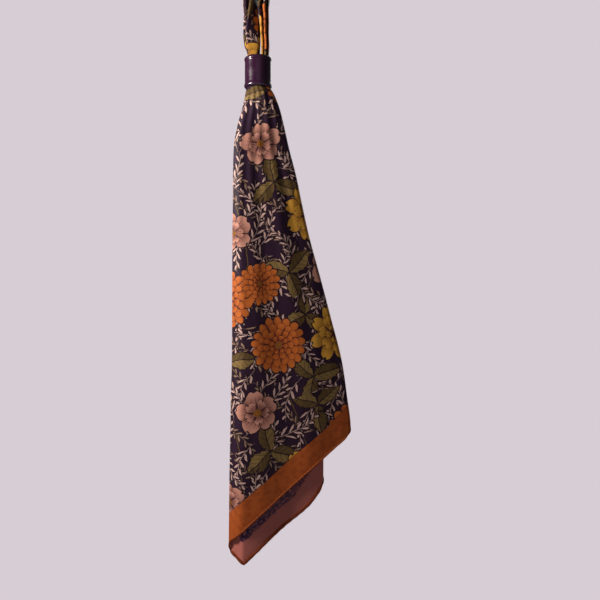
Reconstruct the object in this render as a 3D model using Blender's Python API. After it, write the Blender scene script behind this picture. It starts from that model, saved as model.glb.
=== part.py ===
"""A square scarf that hangs from a wall hook, drawn through a scarf ring.

The scarf is folded at its middle over the hook's arm. Both halves pass down through the ring
and open out below it: the front fall, with its corner at the bottom, and the rear fall behind.
Millimetres are used below and turned into metres when a mesh is made. +Z is up, +X is to the
right of someone who faces the wall, and the wall is the plane Y = 0, with the scarf at -Y.
The origin is the middle of the wall plate's back face.
"""

from math import cos, pi, radians, sin

import bpy
import numpy as np

TO_METRES = 0.001
SEAM_GAP = 0.3


def table(names, *rows):
    """A table with a name for each column: one row of numbers for each level or section."""
    return dict(zip(names.split(), np.array(rows, float).T))


# The cloth, hung off square so that the halves differ a little in length.
CLOTH = 1.0
ROLLED_HEM = 2.8
HANG_Y = -45.0

# The hook. The plate's middle is the model's origin, and it lies this far above the level
# where the scarf hangs, from which all the heights here are measured.
PLATE_ABOVE = 44.0
PLATE_RADIUS = 22.0
PLATE_THICK = 4.5
PLATE_EDGE = 1.2
SCREW_OFFSET = 14.0
SCREW_RADIUS = 3.4
SCREW_HIGH = 1.6
ARM_RADIUS = 4.0
ARM_COLLAR_RADIUS = 7.5
ARM_COLLAR_DEEP = 2.6
ARM_STEM = 19.0
ARM_REACH = 60.0
ARM_BEND = 9.0
ARM_TIP_HIGH = 15.0
KNOB_RADIUS = 6.0

# The scarf ring, an oval band round both halves.
RING_MIDDLE = (1.3, HANG_Y)
RING_HALF_WIDE = 15.2
RING_HALF_DEEP = 13.8
RING_WALL = 1.7
RING_TOP = -68.9
RING_BOTTOM = -101.2

# Inside the ring the looped stretch ends and, a parting lower, the two falls begin.
LOOP_END = -84.0
PARTING = 0.6
FALL_TOP = LOOP_END - PARTING

# Front fall, level by level. left and right are the outer folds; crest is where the front
# panel comes nearest to the viewer; lean is how far its right fold lies behind that;
# stack and stack_right are the depth from the front panel to the rear one at either side.
FRONT_LEVELS = table(
    "z left right crest lean stack stack_right",
    (FALL_TOP, -9.0, 11.6, -54.9, 5.2, 9.4, 8.0),
    (-101.5, -10.2, 12.8, -55.1, 5.4, 9.6, 8.4),
    (-106.0, -11.4, 16.6, -56.0, 6.0, 10.2, 8.8),
    (-114.4, -12.8, 20.8, -57.2, 7.0, 11.4, 9.4),
    (-126.5, -15.2, 25.2, -58.2, 8.4, 12.8, 10.0),
    (-143.0, -19.6, 29.4, -59.2, 10.4, 14.0, 10.4),
    (-169.0, -24.0, 35.4, -60.4, 13.2, 15.6, 10.8),
    (-198.0, -24.8, 43.0, -61.4, 15.8, 17.0, 11.0),
    (-224.0, -24.9, 48.4, -62.2, 18.0, 18.0, 11.2),
    (-262.0, -25.4, 56.8, -63.2, 21.2, 19.4, 11.4),
    (-308.0, -25.6, 69.4, -64.2, 25.0, 20.8, 11.4),
    (-352.0, -25.7, 81.0, -65.0, 28.0, 21.6, 11.4),
    (-406.0, -26.2, 94.6, -65.6, 31.0, 22.4, 11.4),
    (-440.0, -27.2, 99.6, -66.0, 32.6, 22.8, 11.4),
    (-480.0, -27.9, 104.2, -66.2, 34.0, 23.2, 11.4),
    (-530.0, -28.8, 104.2, -66.4, 34.0, 23.6, 11.4),
    (-620.0, -29.7, 104.2, -66.6, 34.0, 24.0, 11.4),
)
# The stack's depth changes from left to right by this power of the fraction across.
STACK_CURVE = 1.2

# How the lean is shared out across the front panel, from its left fold to its right one.
LEAN_SHARE = table(
    "across share",
    (0.00, 0.27),
    (0.05, 0.08),
    (0.11, 0.00),
    (0.20, 0.04),
    (0.35, 0.18),
    (0.50, 0.36),
    (0.65, 0.52),
    (0.80, 0.69),
    (0.92, 0.86),
    (1.00, 1.00),
)

# Inside the ring the layers follow the band instead: how far the front panel's ends drop,
# and how much the stacks of either fall thin out towards their ends.
RING_ARC = 5.6
RING_THINS_FRONT = 2.2
RING_THINS_REAR = 1.6
RING_SHAPE_FADES_AT = -160.0

# Ridges (negative) and troughs (positive) that run down the fall: where each lies across the
# panel at the ring and at the hem, its half width, and its depth at three heights.
FOLD_HEIGHTS = (-600.0, -280.0, -112.0)
FOLDS = (
    # name, across_ring, across_hem, half_width, deep_hem, deep_middle, deep_ring
    ("gather 1", 0.11, 0.09, 0.055, 0.0, -0.5, -1.5),
    ("gather 2", 0.29, 0.26, 0.060, 0.0, -0.6, -1.7),
    ("gather 3", 0.47, 0.45, 0.060, 0.0, -0.5, -1.5),
    ("gather 4", 0.65, 0.64, 0.065, 0.0, -0.7, -1.7),
    ("gather 5", 0.85, 0.84, 0.060, 0.0, -0.4, -1.3),
    ("middle trough", 0.38, 0.43, 0.130, 3.2, 1.6, 0.0),
    ("right ridge", 0.60, 0.66, 0.100, -2.8, -1.0, 0.0),
    ("right trough", 0.80, 0.86, 0.070, 1.8, 0.8, 0.0),
)
# The folds begin over this height under the ring, and lose this share towards the rear panel.
FOLDS_BEGIN_OVER = 8.0
FOLDS_LOST_BEHIND = 0.6

# The front fall's layers in order along the cloth. place counts back from the viewer, and
# start and finish are across fractions; hem_start and hem_finish are heights on its lower edge.
FRONT_LAYERS = (
    # name, place, start, finish, hem_start, hem_finish, columns
    ("inner return", 3, 0.45, 0.03, -295.0, -350.0, 3),
    ("rear panel", 4, 0.03, 1.0, -354.0, -469.0, 7),
    ("front panel", 0, 1.0, 0.0, -479.0, -590.5, 24),
    ("back panel", 1, 0.0, 0.765, -606.0, -541.0, 12),
    ("inner panel", 2, 0.765, 0.12, -530.0, -450.0, 4),
)
FRONT_PLACES = 4

# The rear fall lies behind the front one, narrower and a little shorter.
REAR_LEVELS = table(
    "z left right behind stack",
    (FALL_TOP, -4.6, 7.2, 2.8, 5.6),
    (-101.5, -5.6, 8.2, 2.8, 5.6),
    (-108.0, -7.8, 11.6, 3.0, 6.0),
    (-118.0, -10.2, 15.8, 3.2, 6.6),
    (-135.0, -13.8, 20.6, 3.4, 7.2),
    (-160.0, -18.4, 25.4, 3.8, 7.8),
    (-200.0, -20.6, 32.4, 4.2, 8.4),
    (-262.0, -21.4, 42.6, 4.6, 9.2),
    (-352.0, -21.8, 54.6, 5.0, 10.0),
    (-470.0, -22.4, 64.0, 5.2, 10.6),
    (-600.0, -23.0, 66.0, 5.2, 11.0),
)
REAR_LAYERS = (
    # name, place, start, finish, hem_start, hem_finish, columns
    ("inner face", 0, 0.86, 0.0, -516.0, -566.0, 7),
    ("outer face", 2, 0.0, 1.0, -561.0, -474.0, 9),
    ("inner return", 1, 1.0, 0.16, -474.0, -402.0, 3),
)
REAR_PLACES = 2

# Where a layer's lower edge isn't one straight line: how far along the layer each bend is, and
# its height. The lowest one is a corner of the scarf, and the others round the edge off as it
# comes to a fold.
HEM_BENDS = {
    "front panel": ((0.03, -486.0), (0.08, -493.5)),
    "back panel": (
        (0.135, -618.5),
        (0.550, -584.3),
        (0.850, -561.4),
        (0.925, -552.9),
        (0.975, -546.0),
    ),
    "inner face": ((0.80, -584.0),),
}

# Where a fall turns from one layer to the next: the widest turn, and the columns it takes.
WIDEST_TURN = 4.5
TURN_COLUMNS = 3
WIDE_TURN_COLUMNS = 5

# Rows of both falls: fixed heights in and under the ring, then even shares down to the hem.
TOP_ROWS = (FALL_TOP, -93.5, -101.5, -105.5, -110, -117, -127, -140, -155, -172)
LOWER_ROWS = 7
HEM_ROWS = (
    # above_hem, thick
    (4.8, CLOTH),
    (3.8, ROLLED_HEM),
    (1.0, ROLLED_HEM),
    (0.0, 1.5),
)

# The looped stretch, from the left strand's end in the ring, over the arm, to the right one's.
# across and through are the half sizes of its pleated section, and turn is how many degrees
# that section is turned from lying along the arm.
LOOP_ROUTE = table(
    "x y z across through turn",
    (-3.4, -45.6, LOOP_END, 6.8, 7.4, 84),
    (-3.4, -45.8, -74.0, 6.9, 7.2, 84),
    (-3.6, -46.6, -64.0, 7.1, 6.4, 82),
    (-4.9, -47.4, -54.0, 9.0, 6.0, 77),
    (-5.6, -47.8, -44.0, 9.4, 5.6, 71),
    (-5.8, -47.2, -29.5, 9.3, 5.8, 57),
    (-7.1, -46.0, -14.0, 9.0, 6.2, 31),
    (-9.6, -45.2, 0.0, 8.8, 4.9, 0),
    (0.0, -45.0, 9.3, 8.8, 4.6, 0),
    (9.3, -44.8, 0.0, 8.8, 4.6, 0),
    (6.9, -44.6, -13.0, 8.9, 5.8, 0),
    (8.1, -44.2, -28.0, 9.0, 4.9, 0),
    (8.3, -44.2, -41.0, 9.0, 4.5, 0),
    (9.1, -44.4, -54.0, 8.6, 4.3, 0),
    (8.8, -44.6, -66.0, 6.9, 3.9, 0),
    (8.6, -44.6, LOOP_END, 6.8, 3.8, 0),
)
LOOP_ROWS = 28
LOOP_LAYERS = 5
ARCH_ROWS = 8
# Each layer of the strand bows by this much, and its outline is this oval.
LOOP_BOW = 0.3
LOOP_OVAL_REACH = 1.3
LOOP_OVAL_POWER = 2.5


def smooth_values(at, known_at, known):
    """Values at the places given, on a smooth curve through the known ones that never overshoots."""
    known_at = np.asarray(known_at, float)
    known = np.asarray(known, float)
    if known_at[0] > known_at[-1]:
        known_at, known = known_at[::-1], known[::-1]
    steps = np.diff(known_at)
    rises = np.diff(known) / steps
    slopes = np.zeros(len(known))
    slopes[0], slopes[-1] = rises[0], rises[-1]
    same_way = rises[:-1] * rises[1:] > 0
    means = 2 * rises[:-1] * rises[1:] / np.where(same_way, rises[:-1] + rises[1:], 1)
    slopes[1:-1] = np.where(same_way, means, 0)
    at = np.clip(np.asarray(at, float), known_at[0], known_at[-1])
    i = np.clip(np.searchsorted(known_at, at) - 1, 0, len(steps) - 1)
    t = (at - known_at[i]) / steps[i]
    return (
        known[i] * (1 + 2 * t) * (1 - t) ** 2
        + slopes[i] * steps[i] * t * (1 - t) ** 2
        + known[i + 1] * t**2 * (3 - 2 * t)
        + slopes[i + 1] * steps[i] * t**2 * (t - 1)
    )


def at_level(levels, column, z):
    return smooth_values(z, levels["z"], levels[column])


def material(name, colour, roughness, metallic=0.0):
    made = bpy.data.materials.new(name)
    made.use_nodes = True
    shader = made.node_tree.nodes["Principled BSDF"]
    shader.inputs["Base Color"].default_value = (*colour, 1)
    shader.inputs["Roughness"].default_value = roughness
    shader.inputs["Metallic"].default_value = metallic
    made.diffuse_color = (*colour, 1)
    return made


def add_object(name, points, faces, finish, smooth_angle=40):
    """A mesh object from points in millimetres, with its faces turned outwards."""
    points = (np.asarray(points, float) - (0, 0, PLATE_ABOVE)) * TO_METRES
    mesh = bpy.data.meshes.new(name)
    mesh.from_pydata(points.tolist(), [], faces)
    mesh.calc_loop_triangles()
    corners = points[[list(triangle.vertices) for triangle in mesh.loop_triangles]]
    if np.linalg.det(corners).sum() < 0:
        mesh.flip_normals()
    mesh.validate()
    mesh.shade_smooth()
    mesh.set_sharp_from_angle(angle=radians(smooth_angle))
    mesh.materials.append(finish)
    made = bpy.data.objects.new(name, mesh)
    bpy.context.scene.collection.objects.link(made)
    return made


def wall_of(name, middle, thick, finish):
    """A wall of cloth round a grid of points in its middle, with its four edges closed."""
    rows, columns = middle.shape[:2]
    along = np.gradient(middle, axis=0)
    across = np.gradient(middle, axis=1)
    normals = np.cross(across, along)
    normals /= np.linalg.norm(normals, axis=2, keepdims=True)
    offset = normals * np.asarray(thick)[:, :, None] / 2
    points = np.concatenate([(middle + offset).reshape(-1, 3), (middle - offset).reshape(-1, 3)])
    other = rows * columns
    faces = []
    for r in range(rows - 1):
        for c in range(columns - 1):
            a, b = r * columns + c, r * columns + c + 1
            d, e = a + columns, b + columns
            faces.append((a, b, e, d))
            faces.append((other + a, other + d, other + e, other + b))
    top = list(range(columns))
    right = [r * columns + columns - 1 for r in range(1, rows)]
    bottom = [(rows - 1) * columns + c for c in range(columns - 2, -1, -1)]
    left = [r * columns for r in range(rows - 2, 0, -1)]
    rim = top + right + bottom + left
    for a, b in zip(rim, rim[1:] + rim[:1]):
        faces.append((b, a, other + a, other + b))
    return add_object(name, points, faces, finish)


def tube_of(name, centres, radii, sides, finish):
    """A round bar along a route in the plane X = 0, closed at both ends."""
    centres = np.asarray(centres, float)
    runs = np.gradient(centres, axis=0)
    runs /= np.linalg.norm(runs, axis=1, keepdims=True)
    points = []
    for centre, run, radius in zip(centres, runs, radii):
        side = np.array((1.0, 0.0, 0.0))
        up = np.cross(side, run)
        for k in range(sides):
            angle = 2 * pi * k / sides
            points.append(centre + radius * (side * cos(angle) + up * sin(angle)))
    faces = [tuple(range(sides)), tuple(range(len(points) - sides, len(points)))[::-1]]
    for r in range(len(centres) - 1):
        for k in range(sides):
            a, b = r * sides + k, r * sides + (k + 1) % sides
            faces.append((b, a, a + sides, b + sides))
    return add_object(name, points, faces, finish, smooth_angle=50)


def share_in_ring(z):
    """1 in the scarf ring, falling smoothly to 0 some way below it."""
    share = np.clip((z - RING_SHAPE_FADES_AT) / (RING_BOTTOM - RING_SHAPE_FADES_AT), 0, 1)
    return share * share * (3 - 2 * share)


def front_across(z):
    """X of the front fall's outer folds at these heights."""
    return at_level(FRONT_LEVELS, "left", z), at_level(FRONT_LEVELS, "right", z)


def fold_relief(across, z):
    """How far the named ridges and troughs move the cloth towards the wall."""
    relief = np.zeros(np.broadcast(across, z).shape)
    down = np.clip((z - FALL_TOP) / (FOLD_HEIGHTS[0] - FALL_TOP), 0, 1)
    for _, across_ring, across_hem, half_width, deep_hem, deep_middle, deep_ring in FOLDS:
        middle = across_ring + (across_hem - across_ring) * down
        depth = smooth_values(z, FOLD_HEIGHTS, (deep_hem, deep_middle, deep_ring))
        relief = relief + depth * np.exp(-(((across - middle) / half_width) ** 2))
    clear_of_ring = np.clip((RING_BOTTOM - z) / FOLDS_BEGIN_OVER, 0, 1)
    return relief * clear_of_ring


def front_depth(across, z, place):
    """Y of the front fall's layer in this place, at a fraction across it and a height."""
    in_ring = share_in_ring(z)
    share = smooth_values(across, LEAN_SHARE["across"], LEAN_SHARE["share"])
    hanging = at_level(FRONT_LEVELS, "lean", z) * share
    banded = RING_ARC * (2 * across - 1) ** 2
    front = at_level(FRONT_LEVELS, "crest", z) + in_ring * banded + (1 - in_ring) * hanging
    stack_left = at_level(FRONT_LEVELS, "stack", z)
    stack_right = at_level(FRONT_LEVELS, "stack_right", z)
    thinning = in_ring * RING_THINS_FRONT * (2 * across - 1) ** 2
    stack = stack_left + (stack_right - stack_left) * across**STACK_CURVE - thinning
    back = place / FRONT_PLACES
    return front + stack * back + fold_relief(across, z) * (1 - FOLDS_LOST_BEHIND * back)


def rear_across(z):
    return at_level(REAR_LEVELS, "left", z), at_level(REAR_LEVELS, "right", z)


def rear_depth(across, z, place):
    """Y of the rear fall's layer in this place: behind the front fall's rear panel."""
    left, right = rear_across(z)
    front_left, front_right = front_across(z)
    x = left + (right - left) * across
    front_fraction = np.clip((x - front_left) / (front_right - front_left), 0, 1)
    carried = front_depth(front_fraction, z, FRONT_PLACES)
    thinning = share_in_ring(z) * RING_THINS_REAR * (2 * across - 1) ** 2
    stack = at_level(REAR_LEVELS, "stack", z)
    return carried + at_level(REAR_LEVELS, "behind", z) - thinning + stack * place / REAR_PLACES


def hem_height(layer, fraction):
    """Height of the hem at a fraction along a layer."""
    bends = HEM_BENDS.get(layer[0], ())
    along = [0.0, *(bend[0] for bend in bends), 1.0]
    heights = [layer[4], *(bend[1] for bend in bends), layer[5]]
    return float(np.interp(fraction, along, heights))


def fall_columns(layers):
    """Each column of a fall as (layer, fraction along it) or as a turn between two layers."""
    columns = []
    for i, layer in enumerate(layers):
        count = layer[6]
        fractions = [k / (count - 1) for k in range(count)]
        corner = min(HEM_BENDS.get(layer[0], ()), key=lambda bend: bend[1], default=None)
        if corner and corner[1] < min(layer[4], layer[5]):
            nearest = min(range(count), key=lambda k: abs(fractions[k] - corner[0]))
            fractions[nearest] = corner[0]
        for fraction in fractions:
            columns.append(("flat", layer, fraction, hem_height(layer, fraction)))
        if i + 1 == len(layers):
            continue
        following = layers[i + 1]
        wide = abs(layer[1] - following[1]) > 1
        turns = WIDE_TURN_COLUMNS if wide else TURN_COLUMNS
        for k in range(1, turns + 1):
            angle = pi * k / (turns + 1)
            hem = layer[5] + (following[4] - layer[5]) * k / (turns + 1)
            columns.append(("turn", layer, following, angle, hem))
    return columns


def turn_radius(depth_of, across, z, place, other_place):
    half = np.abs(depth_of(across, z, other_place) - depth_of(across, z, place)) / 2
    return np.minimum(half, WIDEST_TURN)


def fall_points(layers, sides_of, depth_of):
    """A fall's middle surface as rows of points, and the thickness there."""
    columns = fall_columns(layers)
    names = [layer[0] for layer in layers]
    grid, thick = [], []
    for column in columns:
        hem = column[-1]
        lower = hem + HEM_ROWS[0][0]
        shares = np.arange(1, LOWER_ROWS + 1) / (LOWER_ROWS + 1)
        z = np.concatenate([
            TOP_ROWS,
            TOP_ROWS[-1] + (lower - TOP_ROWS[-1]) * shares,
            [hem + above for above, _ in HEM_ROWS],
        ])
        left, right = sides_of(z)
        width = right - left
        if column[0] == "flat":
            _, layer, fraction, _ = column
            _, place, start, finish = layer[:4]
            order = names.index(layer[0])
            way = 1 if finish > start else -1
            x_start = left + width * start
            x_finish = left + width * finish
            if order > 0:
                other = layers[order - 1][1]
                x_start = x_start + way * turn_radius(depth_of, start, z, place, other)
            if order + 1 < len(layers):
                other = layers[order + 1][1]
                x_finish = x_finish - way * turn_radius(depth_of, finish, z, place, other)
            x = x_start + (x_finish - x_start) * fraction
            y = depth_of((x - left) / width, z, place)
        else:
            _, layer, following, angle, _ = column
            across = layer[3]
            way = 1 if layer[3] > layer[2] else -1
            radius = turn_radius(depth_of, across, z, layer[1], following[1])
            inner = left + width * across - way * radius
            fraction = (inner - left) / width
            first = depth_of(fraction, z, layer[1])
            second = depth_of(fraction, z, following[1])
            x = inner + way * radius * sin(angle)
            y = (first + second) / 2 + (first - second) / 2 * cos(angle)
        grid.append(np.stack([x, y, z], axis=1))
        thick.append([CLOTH] * (len(z) - len(HEM_ROWS)) + [row[1] for row in HEM_ROWS])
    return np.stack(grid, axis=1), np.array(thick).T


def pleated_section(across, through):
    """Points of a strand's folded section, layer by layer, within an oval of these half sizes."""
    reach = through - CLOTH / 2
    pitch = 2 * reach / (LOOP_LAYERS - 1)
    turn = pitch / 2
    levels = [-reach + pitch * k for k in range(LOOP_LAYERS)]
    out = [abs(level) / (through * LOOP_OVAL_REACH) for level in levels]
    halves = [across * (1 - o**LOOP_OVAL_POWER) ** 0.5 - turn - CLOTH / 2 for o in out]
    fold_halves = [(a + b) / 2 for a, b in zip(halves, halves[1:])]
    reaches = [halves[0], *fold_halves, halves[-1]]
    points = []
    for k, level in enumerate(levels):
        way = 1 if k % 2 == 0 else -1
        begin, end = -way * reaches[k], way * reaches[k + 1]
        points += [(begin, level), ((begin + end) / 2, level - LOOP_BOW), (end, level)]
        if k + 1 < LOOP_LAYERS:
            for angle in (pi / 4, pi / 2, 3 * pi / 4):
                points.append((end + way * turn * sin(angle), level + turn * (1 - cos(angle))))
    return points


def loop_centre_line():
    """The route's points evenly spaced, with a true half circle where it passes over the arm."""
    over = int(np.argmax(LOOP_ROUTE["z"]))
    known = np.arange(len(LOOP_ROUTE["z"]), dtype=float)
    places = np.linspace(0, known[-1], LOOP_ROWS)
    near_top = np.linspace(over - 1, over + 1, ARCH_ROWS)
    outside = places[np.abs(places - over) > 1.05]
    places = np.sort(np.concatenate([outside, near_top]))
    values = {name: smooth_values(places, known, LOOP_ROUTE[name]) for name in LOOP_ROUTE}
    left_x, right_x = LOOP_ROUTE["x"][over - 1], LOOP_ROUTE["x"][over + 1]
    springing = LOOP_ROUTE["z"][over - 1]
    top_middle, top_radius = (left_x + right_x) / 2, (right_x - left_x) / 2
    for i, place in enumerate(places):
        if over - 1 <= place <= over + 1:
            angle = pi * (over + 1 - place) / 2
            values["x"][i] = top_middle + top_radius * cos(angle)
            values["z"][i] = springing + (LOOP_ROUTE["z"][over] - springing) * sin(angle)
    return values


def looped_stretch(finish):
    """The stretch that shows above the ring: up from it, over the arm and down again."""
    route = loop_centre_line()
    centres = np.stack([route["x"], route["y"], route["z"]], axis=1)
    runs = np.gradient(centres, axis=0)
    runs /= np.linalg.norm(runs, axis=1, keepdims=True)
    rows = []
    for i, (centre, run) in enumerate(zip(centres, runs)):
        along_arm = np.array((0.0, -1.0, 0.0))
        along_arm -= run * along_arm.dot(run)
        along_arm /= np.linalg.norm(along_arm)
        outward = np.cross(along_arm, run)
        turn = radians(route["turn"][i])
        wide = along_arm * cos(turn) + outward * sin(turn)
        deep = outward * cos(turn) - along_arm * sin(turn)
        section = pleated_section(route["across"][i], route["through"][i])
        rows.append([centre + wide * a + deep * b for a, b in section])
    middle = np.array(rows)
    return wall_of("scarf_hook_loop", middle, np.full(middle.shape[:2], CLOTH), finish)


def scarf_ring(finish):
    """The oval band: a turned profile with a rolled rim at each end."""
    profile = (
        # out from the band's face, height
        (-0.9, RING_TOP),
        (-0.25, RING_TOP - 0.5),
        (0.0, RING_TOP - 1.6),
        (-0.1, RING_TOP - 2.9),
        (-0.55, RING_TOP - 3.7),
        (-0.55, RING_BOTTOM + 4.2),
        (-0.05, RING_BOTTOM + 3.3),
        (0.15, RING_BOTTOM + 1.8),
        (0.0, RING_BOTTOM + 0.6),
        (-0.6, RING_BOTTOM),
        (-RING_WALL + 0.5, RING_BOTTOM),
        (-RING_WALL, RING_BOTTOM + 0.8),
        (-RING_WALL, RING_TOP - 0.8),
        (-RING_WALL + 0.4, RING_TOP),
    )
    sides = 36
    points = []
    for k in range(sides):
        angle = 2 * pi * k / sides
        for out, z in profile:
            x = RING_MIDDLE[0] + (RING_HALF_WIDE + out) * cos(angle)
            y = RING_MIDDLE[1] + (RING_HALF_DEEP + out) * sin(angle)
            points.append((x, y, z))
    count = len(profile)
    faces = []
    for k in range(sides):
        for j in range(count):
            a, b = k * count + j, k * count + (j + 1) % count
            c, d = (k + 1) % sides * count + (j + 1) % count, (k + 1) % sides * count + j
            faces.append((a, b, c, d))
    return add_object("scarf_ring", points, faces, finish, smooth_angle=60)


def turned_disc(name, middle, profile, sides, finish):
    """A disc on the wall side: rings of (radius, y) from the back face to the front one."""
    points = []
    for radius, y in profile:
        for k in range(sides):
            angle = 2 * pi * k / sides
            points.append((middle[0] + radius * cos(angle), y, middle[1] + radius * sin(angle)))
    faces = [tuple(range(sides)), tuple(range(len(points) - sides, len(points)))[::-1]]
    for r in range(len(profile) - 1):
        for k in range(sides):
            a, b = r * sides + k, r * sides + (k + 1) % sides
            faces.append((b, a, a + sides, b + sides))
    return add_object(name, points, faces, finish, smooth_angle=35)


def wall_hook(finish):
    """Round wall plate, two screws, and an arm that drops, comes forward and ends in a knob."""
    turned_disc(
        "wall_plate",
        (0, PLATE_ABOVE),
        (
            (PLATE_RADIUS, 0),
            (PLATE_RADIUS, -PLATE_THICK + PLATE_EDGE),
            (PLATE_RADIUS - PLATE_EDGE, -PLATE_THICK),
        ),
        40,
        finish,
    )
    face = -PLATE_THICK - SEAM_GAP
    for name, side in (("screw_upper", 1), ("screw_lower", -1)):
        turned_disc(
            name,
            (0, PLATE_ABOVE + side * SCREW_OFFSET),
            (
                (SCREW_RADIUS, face),
                (SCREW_RADIUS * 0.9, face - SCREW_HIGH * 0.55),
                (SCREW_RADIUS * 0.5, face - SCREW_HIGH),
            ),
            14,
            finish,
        )
    collar = face - ARM_COLLAR_DEEP
    route = [(0, y, PLATE_ABOVE) for y in (face, collar, collar - 1)]
    radii = [ARM_COLLAR_RADIUS, ARM_COLLAR_RADIUS, ARM_RADIUS]
    # Each bend: where its centre is, and the angle that the arm comes in at.
    bends = (
        (-ARM_STEM + ARM_BEND, PLATE_ABOVE - ARM_BEND, pi / 2, pi),
        (-ARM_STEM - ARM_BEND, ARM_BEND, 0, -pi / 2),
        (-ARM_REACH, ARM_BEND, -pi / 2, -pi),
    )
    for centre_y, centre_z, begin, end in bends:
        for k in range(7):
            angle = begin + (end - begin) * k / 6
            y = centre_y + ARM_BEND * cos(angle)
            route.append((0, y, centre_z + ARM_BEND * sin(angle)))
            radii.append(ARM_RADIUS)
    knob_z = ARM_TIP_HIGH + KNOB_RADIUS
    for k in range(7):
        angle = radians(-48 + 130 * k / 6)
        route.append((0, -ARM_REACH - ARM_BEND, knob_z + KNOB_RADIUS * sin(angle)))
        radii.append(KNOB_RADIUS * cos(angle))
    tube_of("hook_arm", route, radii, 14, finish)


def main():
    for leftover in list(bpy.data.objects):
        bpy.data.objects.remove(leftover)
    cloth = material("printed cloth", (0.13, 0.06, 0.08), 0.75)
    band = material("dark glossy band", (0.02, 0.012, 0.03), 0.2)
    metal = material("satin metal", (0.62, 0.60, 0.58), 0.3, 1.0)
    wall_hook(metal)
    looped_stretch(cloth)
    scarf_ring(band)
    middle, thick = fall_points(FRONT_LAYERS, front_across, front_depth)
    wall_of("scarf_front_fall", middle, thick, cloth)
    middle, thick = fall_points(REAR_LAYERS, rear_across, rear_depth)
    wall_of("scarf_rear_fall", middle, thick, cloth)


main()
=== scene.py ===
"""Looks of the square scarf on its wall hook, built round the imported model.

Shapes are worked out in millimetres in the frame of the CAD part and turned into metres when a
mesh is made: +Z is up, the wall is the plane Y = 0 and the scarf hangs in front of it at -Y.
"""

from math import atan, cos, pi, radians, sin

import bpy
import numpy as np
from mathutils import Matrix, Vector


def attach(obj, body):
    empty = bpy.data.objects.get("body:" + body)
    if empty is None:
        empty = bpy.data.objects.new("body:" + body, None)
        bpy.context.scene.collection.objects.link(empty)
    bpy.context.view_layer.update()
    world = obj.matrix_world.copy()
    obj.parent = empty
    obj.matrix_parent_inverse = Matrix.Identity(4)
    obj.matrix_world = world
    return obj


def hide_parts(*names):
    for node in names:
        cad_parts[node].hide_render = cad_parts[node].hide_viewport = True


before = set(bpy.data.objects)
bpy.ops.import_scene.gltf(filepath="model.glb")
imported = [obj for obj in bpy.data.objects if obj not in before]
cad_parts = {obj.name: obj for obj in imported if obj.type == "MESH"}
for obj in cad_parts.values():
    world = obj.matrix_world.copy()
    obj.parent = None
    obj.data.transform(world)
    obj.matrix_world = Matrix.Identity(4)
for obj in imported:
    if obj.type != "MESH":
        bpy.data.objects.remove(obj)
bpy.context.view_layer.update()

MM = 0.001
# One unit of a UV layer is this many millimetres of cloth.
UV_UNIT = 100
# Stretches shorter than this, in mm, are taken as none.
TOO_SHORT = 1e-6


def table(names, *rows):
    """A table with a name for each column: one row of numbers for each level or section."""
    return dict(zip(names.split(), np.array(rows, float).T))


# ---------------------------------------------------------------- camera
# The photograph's frame is 600 pixels for 660 mm at the scarf, seen square on from 700 mm.
CAMERA_AT = (0.0473, -0.745, -0.3784)
VIEW_WIDE = 0.66
VIEW_DISTANCE = 0.7

camera_data = bpy.data.cameras.new("camera")
camera_data.sensor_width = 36
camera_data.lens = camera_data.sensor_width / (VIEW_WIDE / VIEW_DISTANCE)
camera = bpy.data.objects.new("camera", camera_data)
camera.location = CAMERA_AT
camera.rotation_euler = (pi / 2, 0, 0)
bpy.context.scene.collection.objects.link(camera)
bpy.context.scene.camera = camera

# ---------------------------------------------------------------- sizes, as in the CAD part
HANG_Y = -45
CLOTH = 0.6
HEM_RADIUS = 1.85
# The scarf hangs this far under the plate's middle, which is the model's origin. Heights in
# millimetres are measured from the level where it hangs.
PLATE_ABOVE = 44

PLATE_RADIUS = 22
PLATE_THICK = 4.5
SEAM_GAP = 0.3
SCREW_OFFSET = 14
SCREW_RADIUS = 3.4
SCREW_HIGH = 1.6
ARM_RADIUS = 4
ARM_COLLAR_RADIUS = 7.5
ARM_COLLAR_DEEP = 2.6
ARM_STEM = 19
ARM_REACH = 60
ARM_BEND = 9
ARM_TIP_HIGH = 15
KNOB_RADIUS = 6

RING_MIDDLE = (1.3, HANG_Y)
RING_HALF_WIDE = 15.2
RING_HALF_DEEP = 13.8
RING_WALL = 1.7
RING_TOP = -68.9
RING_BOTTOM = -101.2

RING_SIDES = 128
# Out from the band's face, and down from its top or up from its bottom edge.
RIM_TOP = ((-0.9, 0), (-0.25, 0.5), (0, 1.6), (-0.1, 2.9), (-0.55, 3.7), (-0.6, 5.2))
RIM_BOTTOM = ((-0.6, 5.7), (-0.55, 4.2), (-0.05, 3.3), (0.15, 1.8), (0, 0.6), (-0.6, 0))
# Stretches of the band's outline that are longer than this, in mm, aren't rounded.
RING_STRAIGHT_OVER = 6

LOOP_END = -84
FALL_TOP = -84.6

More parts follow.
